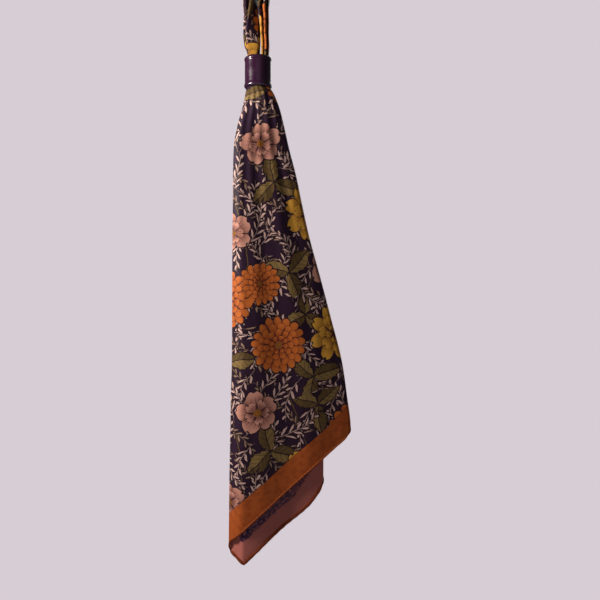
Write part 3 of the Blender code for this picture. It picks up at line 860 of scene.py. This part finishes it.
def olive_cluster(net, x, y):
    """Three toothed leaves that spread from one stalk."""
    away = net.root(x * x + y * y)
    angle = net.wrapped(net.math("ARCTAN2", y, x), pi / 3)
    along, off = away * net.cosine(angle), away * net.sine(angle)
    out = abs(off)
    long = 25
    share = net.math("DIVIDE", along, long, clamp=True)
    tooth = abs(net.wrapped(along - out * 0.5, 2.3)) * 0.55
    half = net.sine(share * pi) ** 0.8 * 7 + tooth - 0.7
    inside = net.least(net.least(half - out, long - along), along)
    paint = net.mix(net.smooth(off, -0.3, 0.3) * 0.75, OLIVE_DEEP, OLIVE_LIGHT)
    rib = net.smooth(out, 0.28, 0.55, 1, 0)
    vein = net.smooth(abs(net.wrapped(along - out * 0.85, 2.4)), 0.12, 0.4, 1, 0)
    paint = net.mix(net.most(rib, vein * 0.8), paint, DRAWN)
    return as_motif(net, inside, paint)


def sprig(colour, long, leaf, wide, bend):
    """A curved stem with narrow leaves on both sides in turn."""
    pitch, lean = 8.4, radians(40)

    def build(net, x, y):
        x = x - y * y * bend
        side = net.sign(x)
        out = abs(x)
        start = y + side * (pitch / 4) - out / np.tan(lean)
        off = abs(net.wrapped(start, pitch / 2)) * sin(lean)
        taper = net.smooth(y, -long / 2, long / 2, leaf, leaf * 0.55)
        gone = out / sin(lean)
        share = net.math("DIVIDE", gone, taper, clamp=True)
        in_leaf = net.least(net.sine(share**0.85 * pi) ** 1.15 * wide - off, taper - gone)
        inside = net.most(in_leaf, 0.42 - out)
        inside = net.least(inside, long / 2 - abs(start))
        shade = net.smooth(share, 0, 0.9, 0.25, 0)
        return as_motif(net, inside, net.mix(shade, colour, DRAWN))

    return build


MOTIFS = {
    "orange": ringed_bloom(
        ((29, 17, 0.2, 0.22), (22.5, 14, 0.9, 0.22), (16, 11, 0.3, 0.24), (9.5, 8, 0.6, 0.26)),
        ORANGE_DEEP, ORANGE_LIGHT, GOLD_DEEP,
    ),
    "gold": ringed_bloom(
        ((29, 8, 0, 0.42), (20, 7, 0.8, 0.4), (10.5, 5, 0.2, 0.38)),
        GOLD_DEEP, GOLD_LIGHT, ORANGE_DEEP, veins=0.75, notch=2.4,
    ),
    "rose": ringed_bloom(
        ((21, 5, 0.4, 0.36), (12.5, 5, 1.9, 0.34)),
        ROSE_DEEP, ROSE_LIGHT, GOLD_DEEP, veins=0.8, notch=1.8,
    ),
    "olive": olive_cluster,
    "pale sprig": sprig(PALE_SPRIG, 46, 13.5, 1.22, 0.01),
    "dusty sprig": sprig(DUSTY_SPRIG, 40, 11.5, 1.15, -0.012),
}

# The print repeats over this width and height, each column half a height lower.
REPEAT = (150, 290)
# Where each motif lies in a repeat, in the order they are laid over each other.
PLACED = {
    "olive": (
        # u, v, turn, size
        (54, -14, 20, 1.25),
        (106, -62, 75, 1.3),
        (6, -112, 50, 1.2),
        (88, -160, 10, 1.3),
        (70, -206, 95, 1.15),
        (60, -274, 40, 1.3),
    ),
    "pale sprig": (
        (74, -40, 64, 1.1),
        (124, -112, 20, 1.1),
        (8, -150, -38, 1.1),
        (60, -190, 118, 1.05),
        (120, -232, -60, 1.1),
        (96, -286, 30, 1.05),
    ),
    "rose": ((122, -20, 15, 1.1), (40, -152, 50, 1.2), (2, -262, 80, 1.05)),
    "gold": ((62, -92, 10, 1.14), (34, -226, 70, 1.08)),
    "orange": ((10, -44, 0, 1.1), (122, -172, 40, 0.8), (100, -238, 25, 1.06)),
}
# Sprigs that fill the ground between: each set leans its own way in cells of its own.
SCATTERS = (
    # motif, turn, cell_wide, cell_high, share kept
    ("dusty sprig", -52, 24, 44, 0.78),
    ("pale sprig", 18, 26, 50, 0.95),
    ("pale sprig", -40, 29, 52, 0.65),
)


def turned(u, v, degrees, size=1):
    c, s = cos(radians(degrees)) / size, sin(radians(degrees)) / size
    return u * c + v * s, v * c - u * s


def nearest_place(net, u, v, places):
    """The place on a motif, as seen from the nearest of its places in the repeat."""
    best = None
    for u_at, v_at, degrees, size in places:
        column = net.floor((u - u_at) / REPEAT[0] + 0.5)
        x = u - u_at - column * REPEAT[0]
        y = net.wrapped(v - v_at + column * (REPEAT[1] / 2), REPEAT[1] / 2)
        x, y = turned(x, y, degrees, size)
        here = (x * x + y * y, x, y)
        if best is None:
            best = here
            continue
        nearer = net.less(here[0], best[0])
        best = [net.blend(nearer, old, new) for old, new in zip(best, here)]
    return best[1], best[2]


def scattered_place(net, u, v, degrees, wide, high, kept):
    """The place on a motif in a cell of a half-dropped grid, and whether the cell has one."""
    x, y = turned(u, v, degrees)
    column = net.floor(x / wide)
    y = y + column * (high / 2 + 3)
    row = net.floor(y / high)
    here = net.chance(column + degrees, row)
    flip = net.sign(here * 2 - kept)
    local_x = (x - column * wide - wide / 2) * flip
    local_y = (y - row * high - high / 2) * flip
    return local_x, local_y, net.less(here, kept)


def flower_print(groups):
    """The print's colour, and where its motifs cover the ground, at a place on the cloth."""

    def build(net, u, v):
        at = net.vector(u, v)
        # The drawing wavers a little, as a hand-drawn one does.
        u = u + (net.noise(at, 0.045, 1) - 0.5) * 7 + (net.noise(at, 0.3, 1) - 0.5) * 1.5
        shifted = net.vector(u + 431, v - 217)
        v = v + (net.noise(shifted, 0.045, 1) - 0.5) * 7
        v = v + (net.noise(shifted, 0.3, 1) - 0.5) * 1.5
        stem = abs(net.wrapped(u - net.sine(v / 37) * 15, 37))
        paint = net.mix(net.smooth(stem, 0.75, 0.45), GROUND, OLIVE_DEEP)
        covered = net.smooth(stem, 1.2, 0.8)
        for motif, degrees, wide, high, kept in SCATTERS:
            x, y, keep = scattered_place(net, u, v, degrees, wide, high, kept)
            cover, colour = net.use(groups[motif], X=x, Y=y)
            cover = cover * keep
            paint, covered = net.mix(cover, paint, colour), net.most(covered, cover)
        for motif, places in PLACED.items():
            x, y = nearest_place(net, u, v, places)
            cover, colour = net.use(groups[motif], X=x, Y=y)
            paint, covered = net.mix(cover, paint, colour), net.most(covered, cover)
        return paint, covered

    return build


motif_groups = {
    name: node_group(name, ("X", "Y"), MOTIF_SOCKETS, build) for name, build in MOTIFS.items()
}
print_group = node_group(
    "flower print",
    ("U", "V"),
    (("Colour", "Color"), ("Cover", "Float")),
    flower_print(motif_groups),
)


# ---------------------------------------------------------------- finishes
def new_material(name, constants=()):
    """A material, the builder of its nodes, and its shader with these constants set."""
    made = bpy.data.materials.new(name)
    made.use_nodes = True
    shader = made.node_tree.nodes["Principled BSDF"]
    for socket, value in dict(constants).items():
        shader.inputs[socket].default_value = value
    return made, Net(made.node_tree), shader


def set_surface(net, shader, colour, roughness, height, distance, strength):
    """Colour, roughness and relief; its distance is in metres."""
    net.feed(shader.inputs["Base Color"], colour)
    net.feed(shader.inputs["Roughness"], roughness)
    bump = net.field("ShaderNodeBump")
    inputs = bump.socket.node.inputs
    inputs["Strength"].default_value = strength
    inputs["Distance"].default_value = distance
    net.feed(inputs["Height"], height)
    net.feed(shader.inputs["Normal"], bump)


WRONG_BORDER, WRONG_BORDER_WORN = (0.47, 0.148, 0.112), (0.36, 0.092, 0.08)
WRONG_PALE, WRONG_DARK = (0.38, 0.13, 0.13), (0.036, 0.016, 0.056)
# The print shows through to this distance from the hem, in patches of this size.
SHOWS_TO, PATCHY = 6.2, 0.34
WEAVE_PITCH = 0.55


def weave_height(net, u, v):
    """Plain weave: threads pass over and under each other, with thick and thin ones."""
    across = net.sine(u * (2 * pi / WEAVE_PITCH))
    along = net.sine(v * (2 * pi / WEAVE_PITCH))
    slubs = net.noise(net.vector(u * 0.12, v * 1.6), 1)
    return across * along * 0.5 + slubs * 0.6


def cloth_finish(name, right_side):
    """The cloth's printed side, or its wrong side, where the print shows through faintly."""
    made, net, shader = new_material(name, {
        "Specular IOR Level": 0.18,
        "Sheen Weight": 0.04,
        "Sheen Roughness": 0.45,
        "Sheen Tint": (0.95, 0.8, 0.85, 1),
    })
    above, _ = net.uv("edge")
    u, v = net.uv("print")
    colour, cover = net.use(print_group, U=u, V=v)
    place = net.vector(u, v)
    wear = net.noise(place, 0.035, 3)
    grain = net.noise(net.vector(u * 0.5, v * 3), 1)
    printed_to = above + (net.noise(place, 0.5, 1) - 0.5) * 0.35
    in_print = net.smooth(printed_to, BORDER - 0.25, BORDER + 0.25)
    line = net.smooth(abs(printed_to - BORDER - 0.4), 0.45, 0.25)
    if right_side:
        plain = net.mix(wear * 0.35, BORDER_COLOUR, BORDER_WORN)
        plain = net.mix(grain * 0.18, plain, BORDER_PALE)
        mottled = net.smooth(net.noise(place, 0.16, 3), 0.42, 0.66)
        plain = net.mix(mottled * 0.5, plain, BORDER_MOTTLED)
        colour = net.mix(line * 0.7, net.mix(in_print, plain, colour), DRAWN)
    else:
        patchy = net.noise(place, PATCHY)
        shown = net.most(cover * 0.12, net.smooth(patchy, 0.51, 0.58) * 0.8)
        ghost = net.mix(shown, WRONG_DARK, WRONG_PALE)
        ghost = net.mix(0.08, ghost, colour)
        plain = net.mix(wear * 0.3, WRONG_BORDER, WRONG_BORDER_WORN)
        reached = printed_to + (patchy - 0.5) * 8
        shows = net.smooth(reached, BORDER - SHOWS_TO - 0.4, BORDER - SHOWS_TO + 0.4)
        colour = net.mix(shows, plain, ghost)
    fade = net.smooth(wear, 0.35, 0.75, 0.94, 1.05)
    colour = net.mix(1, colour, net.vector(fade, fade, fade), blend="MULTIPLY")
    roughness = net.smooth(wear, 0.2, 0.8, 0.52, 0.66)
    set_surface(net, shader, colour, roughness, weave_height(net, u, v), 0.00006, 0.6)
    return made


def hem_finish():
    """The rolled edge: the border's cloth wound tight, with painted shade on the side that faces
    the wrong side and in the grooves of its twist.
    """
    made, net, shader = new_material("rolled hem cloth", {"Specular IOR Level": 0.06})
    along, facing = net.uv("roll")
    twist = net.sine((along + facing * 1.5) * 2.2)
    tone = net.noise(net.vector(along * 0.2, facing), 1)
    printed = net.mix(tone * 0.7, (0.28, 0.06, 0.01), (0.18, 0.037, 0.008))
    # Painted shade: the roll's colour is darker on the side towards the wrong side.
    painted_shade_side = net.mix(tone * 0.8, (0.19, 0.034, 0.01), (0.11, 0.02, 0.007))
    colour = net.mix(net.smooth(facing, -0.35, 0.45), painted_shade_side, printed)
    # Painted shade in the grooves of the twist.
    colour = net.mix(net.smooth(twist, 0.3, 1) * 0.3, colour, (0.1, 0.022, 0.01))
    roughness = net.smooth(tone, 0.2, 0.8, 0.62, 0.75)
    set_surface(net, shader, colour, roughness, twist * 0.5 + tone, 0.00012, 0.5)
    return made


def band_finish():
    """The scarf ring: dark glossy aubergine, with faint streaks and fine rubbing."""
    made, net, shader = new_material(
        "glossy ring", {"Coat Weight": 0.3, "Coat Roughness": 0.08, "IOR": 1.45}
    )
    streaks = net.noise(net.place((1, 1, 0.25)), 260, 3)
    cloud = net.noise(net.place(), 90)
    rubbed = net.smooth(cloud * 0.6 + streaks * 0.4, 0.3, 0.7, 0.16, 0.34)
    colour = net.mix(streaks, (0.018, 0.004, 0.016), (0.042, 0.009, 0.034))
    set_surface(net, shader, colour, rubbed, streaks, 0.0001, 0.25)
    return made


def metal_finish(name, brushed_scale):
    """Satin metal, brushed along one way, a little duller where it is handled."""
    made, net, shader = new_material(name, {"Metallic": 1})
    brushed = net.noise(net.place(brushed_scale), 700, 3)
    cloud = net.noise(net.place(), 120)
    handled = net.smooth(cloud * 0.5 + brushed * 0.5, 0.3, 0.7, 0.24, 0.42)
    colour = net.mix(cloud, (0.66, 0.64, 0.61), (0.52, 0.5, 0.48))
    set_surface(net, shader, colour, handled, brushed, 0.00005, 0.3)
    return made


def plain_finish(name, scale, first, second, metallic):
    made, net, shader = new_material(name, {"Roughness": 0.5, "Metallic": metallic})
    tone = net.noise(net.place(), scale)
    net.feed(shader.inputs["Base Color"], net.mix(tone, first, second))
    return made


printed_side = cloth_finish("printed side", True)
wrong_side = cloth_finish("wrong side", False)
rolled = hem_finish()
thread = plain_finish("hem thread", 900, (0.5, 0.18, 0.05), (0.3, 0.09, 0.03), 0)


# ---------------------------------------------------------------- the pieces
def dressed(made, slot, *nodes):
    """A finished piece rides on the part's one body, in place of its CAD nodes."""
    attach(made, "root")
    if nodes:
        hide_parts(*nodes)
    return made


STITCH_PITCH = 4
STITCH_SLANT = 0.595
STITCH_RADIUS = 0.17
# The roll is pressed flatter near the places where the cloth folds back on itself.
FOLD_PINCH = 0.4
PINCH_REACH = 2.5
# The front panel's hem is rolled tighter, and hardly shows from its printed side.
HEM_SHARE = {"front panel": 0.62}
HEM_SIDES = 10


def hem_pieces(name, middle, layers):
    """The rolled edge along a fall's lowest row, and the slanted stitches that hold it."""
    line = middle[-1]
    steps = np.linalg.norm(np.diff(line, axis=0), axis=1)
    gone = np.concatenate([[0], np.cumsum(steps)])
    columns = fall_columns(layers)
    turns = [column[0] == "turn" for column in columns]
    to_turn = np.abs(gone[:, None] - gone[turns]).min(axis=1)
    joined = [column[1:3] if turn else column[1:2] for column, turn in zip(columns, turns)]
    shares = [min(HEM_SHARE.get(layer[0], 1) for layer in pair) for pair in joined]
    pinched = (1 - FOLD_PINCH * np.exp(-((to_turn / PINCH_REACH) ** 2))) * shares
    uneven = 1 + 0.06 * np.sin(gone * 0.7) + 0.04 * np.sin(gone * 1.9)
    radii = HEM_RADIUS * pinched * uneven
    normals = grid_normals(middle)[-1]
    points, faces = tube_points(line, radii, HEM_SIDES, normals[0])
    roll = mesh_object(name + "_hem", points, faces, (rolled,), smooth_angle=70)
    spokes = points.reshape(len(line), HEM_SIDES, 3) - line[:, None]
    facing = (spokes * normals[:, None]).sum(axis=2) / radii[:, None]
    set_uv(roll.data, "roll", np.stack([np.repeat(gone, HEM_SIDES), facing.ravel()], axis=1))
    dressed(roll, "printed_cloth")

    up = unit(middle[-4] - middle[-1])
    all_points, all_faces = [], []
    for at in np.arange(STITCH_PITCH, gone[-1] - 1, STITCH_PITCH):
        i = int(np.searchsorted(gone, at))
        if to_turn[i] < PINCH_REACH:
            continue
        share = (at - gone[i - 1]) / (gone[i] - gone[i - 1])
        place = line[i - 1] * (1 - share) + line[i] * share
        run = (line[i] - line[i - 1]) / steps[i - 1]
        slant = run * STITCH_SLANT
        for out in (normals[i], -normals[i]):
            start = place + out * (radii[i] + 0.05) - slant
            bulge = place + out * (CLOTH / 2 + 0.55) + up[i] * 0.9
            end = place + out * (CLOTH / 2 + 0.05) + up[i] * (radii[i] + 0.7) + slant
            points, faces = tube_points([start, bulge, end], [STITCH_RADIUS] * 3, 6, run)
            all_faces += [tuple(len(all_points) + k for k in face) for face in faces]
            all_points += list(points)
    stitches = mesh_object(name + "_stitches", all_points, all_faces, (thread,))
    return [roll, dressed(stitches, "printed_cloth")]


def cut_size(print_at):
    """Width and length in metres of the flat cut that a grid covers, and its area."""
    print_at = print_at * MM
    wide, long = np.ptp(print_at.reshape(-1, 2), axis=0)
    a = print_at[1:, :-1] - print_at[:-1, :-1]
    b = print_at[:-1, 1:] - print_at[:-1, :-1]
    area = np.abs(a[..., 0] * b[..., 1] - a[..., 1] * b[..., 0]).sum()
    return float(wide), float(long), float(area)


def pressed_crease(layers, middle):
    """The column and first row of the sharp crease, where a fall has one."""
    for i, (kind, layer, fraction, *_) in enumerate(fall_columns(layers)):
        if (kind, layer[0], fraction) == ("flat", PRESSED_PANEL, HEM_BENDS[PRESSED_PANEL][0][0]):
            return i, int(np.argmax(middle[:, i, 2] < PRESSED_FULL))
    return None


for name, layers, levels, depth_of, zero_layer, print_from in (
    ("front_fall", FRONT_LAYERS, FRONT_LEVELS, front_depth, FRONT_LAYERS[2], (0, 0)),
    ("rear_fall", REAR_LAYERS, REAR_LEVELS, rear_depth, REAR_LAYERS[1], REAR_PRINT_FROM),
):
    middle, print_at, edge_at = fall_grid(layers, levels, depth_of, zero_layer)
    print_at = print_at + print_from
    finishes = (printed_side, wrong_side, rolled)
    crease = pressed_crease(layers, middle)
    made = cloth_object(name, middle, print_at, edge_at, finishes, crease)
    dressed(made, "printed_cloth", "scarf_" + name)
    pieces = hem_pieces(name, middle, layers)
    cut_size(print_at)

middle, print_at = loop_grid()
print_at = print_at + LOOP_PRINT_FROM
far_from_hem = print_at * (0, 1) + (FAR_FROM_HEM, 0)
loop = cloth_object("hook_loop", middle, print_at, far_from_hem, (printed_side,) * 3)
dressed(loop, "printed_cloth", "scarf_hook_loop")
cut_size(print_at)


def scarf_ring():
    """The oval band, with a rolled rim at each end and a finer profile than its solid."""
    coarse = np.array([
        *((out, RING_TOP - down) for out, down in RIM_TOP),
        (-0.55, (RING_TOP + RING_BOTTOM) / 2),
        *((out, RING_BOTTOM + up) for out, up in RIM_BOTTOM),
        (-RING_WALL + 0.5, RING_BOTTOM),
        (-RING_WALL, RING_BOTTOM + 0.8),
        (-RING_WALL, RING_TOP - 0.8),
        (-RING_WALL + 0.4, RING_TOP),
    ])
    profile = []
    for i in range(len(coarse)):
        before, a, b, after = (coarse[(i + k) % len(coarse)] for k in (-1, 0, 1, 2))
        for t in (0, 0.33, 0.67):
            curve = a + 0.5 * t * (b - before)
            curve = curve + t * t * (before - 2.5 * a + 2 * b - 0.5 * after)
            curve = curve + t**3 * (-0.5 * before + 1.5 * a - 1.5 * b + 0.5 * after)
            straight = a + (b - a) * t
            long = np.linalg.norm(b - a) > RING_STRAIGHT_OVER
            profile.append(straight if long else 0.5 * (straight + curve))
    points = [
        (
            RING_MIDDLE[0] + (RING_HALF_WIDE + out) * cos(angle),
            RING_MIDDLE[1] + (RING_HALF_DEEP + out) * sin(angle),
            z,
        )
        for angle in round_angles(RING_SIDES)
        for out, z in profile
    ]
    faces = joined_rings(RING_SIDES, len(profile), closed=True)
    return mesh_object("ring_band", points, faces, (band_finish(),), smooth_angle=75)


dressed(scarf_ring(), "ring_band", "scarf_ring")


def wall_plate(finish):
    """The round plate, with a rolled front edge and a shallow dish."""
    front, edge, sides = -PLATE_THICK, 1.2, 96
    profile = [(PLATE_RADIUS, 0), (PLATE_RADIUS, front + edge)]
    for angle in np.linspace(0, pi / 2, 8)[1:]:
        profile.append((PLATE_RADIUS - edge * (1 - cos(angle)), front + edge * (1 - sin(angle))))
    profile += [(PLATE_RADIUS - 3.4, front), (PLATE_RADIUS - 3.9, front + 0.25)]
    profile += [(PLATE_RADIUS - 4.4, front), (10, front), (2, front)]
    points = [
        (radius * cos(angle), y, PLATE_ABOVE + radius * sin(angle))
        for radius, y in profile
        for angle in round_angles(sides)
    ]
    faces = capped_rings(len(profile), sides)
    return mesh_object("hook_plate", points, faces, (finish,), smooth_angle=30)


def screw(name, height, turn, finishes):
    """A pan head with a cross recess."""
    face = -PLATE_THICK - SEAM_GAP
    rings, sides = 26, 96
    radius = SCREW_RADIUS * (1 - np.arange(rings)[:, None] / rings)
    x, z = radius * np.cos(round_angles(sides)), radius * np.sin(round_angles(sides))
    along, across = x * cos(turn) + z * sin(turn), z * cos(turn) - x * sin(turn)
    cuts = [
        np.clip((0.62 - abs(a)) / 0.22, 0, 1) * np.clip((2 - abs(b)) / 0.4, 0, 1)
        for a, b in ((along, across), (across, along))
    ]
    dome = SCREW_HIGH * (1 - (radius / SCREW_RADIUS) ** 4) ** 0.5
    depth = 0.95 * np.maximum(*cuts) * (1.25 - radius / 2.6 * 0.6)
    y = face - dome + np.minimum(depth, dome * 0.85)
    points = np.stack([x, y, height + z], axis=2).reshape(-1, 3)
    points = [*points, (0, face - SCREW_HIGH + 1.2, height)]
    last = (rings - 1) * sides
    tip = [(last + (k + 1) % sides, last + k, len(points) - 1) for k in range(sides)]
    around = joined_rings(rings, sides)
    faces = [tuple(range(sides)), *around, *tip]
    made = mesh_object(name, points, faces, finishes, smooth_angle=28)
    slots = [0] * (1 + len(around)) + [1] * len(tip)
    made.data.polygons.foreach_set("material_index", slots)
    return made


def hook_arm(finish):
    """The arm: out of the plate with a fillet, down, forward under the scarf, up to a knob."""
    face = -PLATE_THICK - SEAM_GAP
    collar = face - ARM_COLLAR_DEEP
    route = [(0, face, PLATE_ABOVE), (0, face - 0.4, PLATE_ABOVE)]
    radii = [ARM_COLLAR_RADIUS - 0.4, ARM_COLLAR_RADIUS]
    for share in np.linspace(0, 1, 9):
        route.append((0, collar - 1.6 * share, PLATE_ABOVE))
        radii.append(ARM_RADIUS + (ARM_COLLAR_RADIUS - ARM_RADIUS) * (1 - share) ** 2.2)
    bends = (
        # centre y and z, and the angles that the arm comes in and goes out at
        (-ARM_STEM + ARM_BEND, PLATE_ABOVE - ARM_BEND, pi / 2, pi),
        (-ARM_STEM - ARM_BEND, ARM_BEND, 0, -pi / 2),
        (-ARM_REACH, ARM_BEND, -pi / 2, -pi),
    )
    for y, z, begin, end in bends:
        turn = np.linspace(begin, end, 15)
        arc = [(0, y + ARM_BEND * cos(a), z + ARM_BEND * sin(a)) for a in turn]
        straight = list(np.linspace(route[-1], arc[0], 9)[1:-1])
        route += straight + arc
        radii += [ARM_RADIUS] * (len(straight) + len(arc))
    knob_z = ARM_TIP_HIGH + KNOB_RADIUS
    for angle in np.radians(np.linspace(-44, 89, 21)):
        route.append((0, -ARM_REACH - ARM_BEND, knob_z + KNOB_RADIUS * sin(angle)))
        radii.append(KNOB_RADIUS * cos(angle))
    points, faces = tube_points(route, radii, 40)
    return mesh_object("hook_bar", points, faces, (finish,), smooth_angle=45)


plate_metal = metal_finish("brushed plate", (1, 1, 0.06))
arm_metal = metal_finish("brushed arm", (1, 0.08, 1))
dressed(wall_plate(plate_metal), "hook_metal", "wall_plate")
dressed(hook_arm(arm_metal), "hook_metal", "hook_arm")
# Painted shade: the bottom of each screw's cross recess is given dark metal.
recess = plain_finish("recess painted shade", 500, (0.1, 0.1, 0.1), (0.2, 0.19, 0.18), 1)
for name, side, turn in (("screw_upper", 1, 0.35), ("screw_lower", -1, 1.1)):
    height = PLATE_ABOVE + side * SCREW_OFFSET
    made = screw("head_" + name, height, turn, (arm_metal, recess))
    dressed(made, "hook_metal", name)


# ---------------------------------------------------------------- floor and light
FLOOR_Z = -1.78
FLOOR_CORNERS = [(x, y, FLOOR_Z) for x, y in ((-2, -2), (2, -2), (2, 2), (-2, 2))]
floor_mesh = bpy.data.meshes.new("floor")
floor_mesh.from_pydata(FLOOR_CORNERS, [], [(0, 1, 2, 3)])
pale = new_material("pale floor", {"Base Color": (0.74, 0.68, 0.72, 1), "Roughness": 0.8})
floor_mesh.materials.append(pale[0])
new_object("floor", floor_mesh)


def soft_light(name, at, towards, wide, power, colour=(1, 1, 1)):
    data = bpy.data.lights.new(name, "AREA")
    data.shape = "DISK"
    data.size = wide
    data.energy = power
    data.color = colour
    made = new_object(name, data)
    made.location = at
    made.rotation_euler = (Vector(towards) - Vector(at)).to_track_quat("-Z", "Y").to_euler()
    made.visible_camera = False


soft_light("key", (-0.46, -0.3, -0.09), (0.02, -0.05, -0.36), 0.16, 6.4, (1, 0.93, 0.88))
soft_light("fill", (0.1, -1.6, 0.1), (0, -0.06, -0.36), 1.2, 0.6)
soft_light("back", (0.5, 1.2, 0.25), (0, -0.03, -0.34), 1.2, 6)
soft_light("floor", (0, 0.2, -0.95), (0, 0.2, -1.8), 2, 30)

# Dim light from all round, in front of a paler backdrop.
world = bpy.data.worlds.new("studio")
bpy.context.scene.world = world
world.use_nodes = True
background = world.node_tree.nodes["Background"]
background.inputs[0].default_value = (0.8, 0.72, 0.78, 1)
sky = Net(world.node_tree)
seen = sky.field("ShaderNodeLightPath", output="Is Camera Ray")
sky.feed(background.inputs[1], sky.smooth(seen, 0, 1, 0.085, 0.85))
bpy.context.scene.view_settings.view_transform = "Standard"
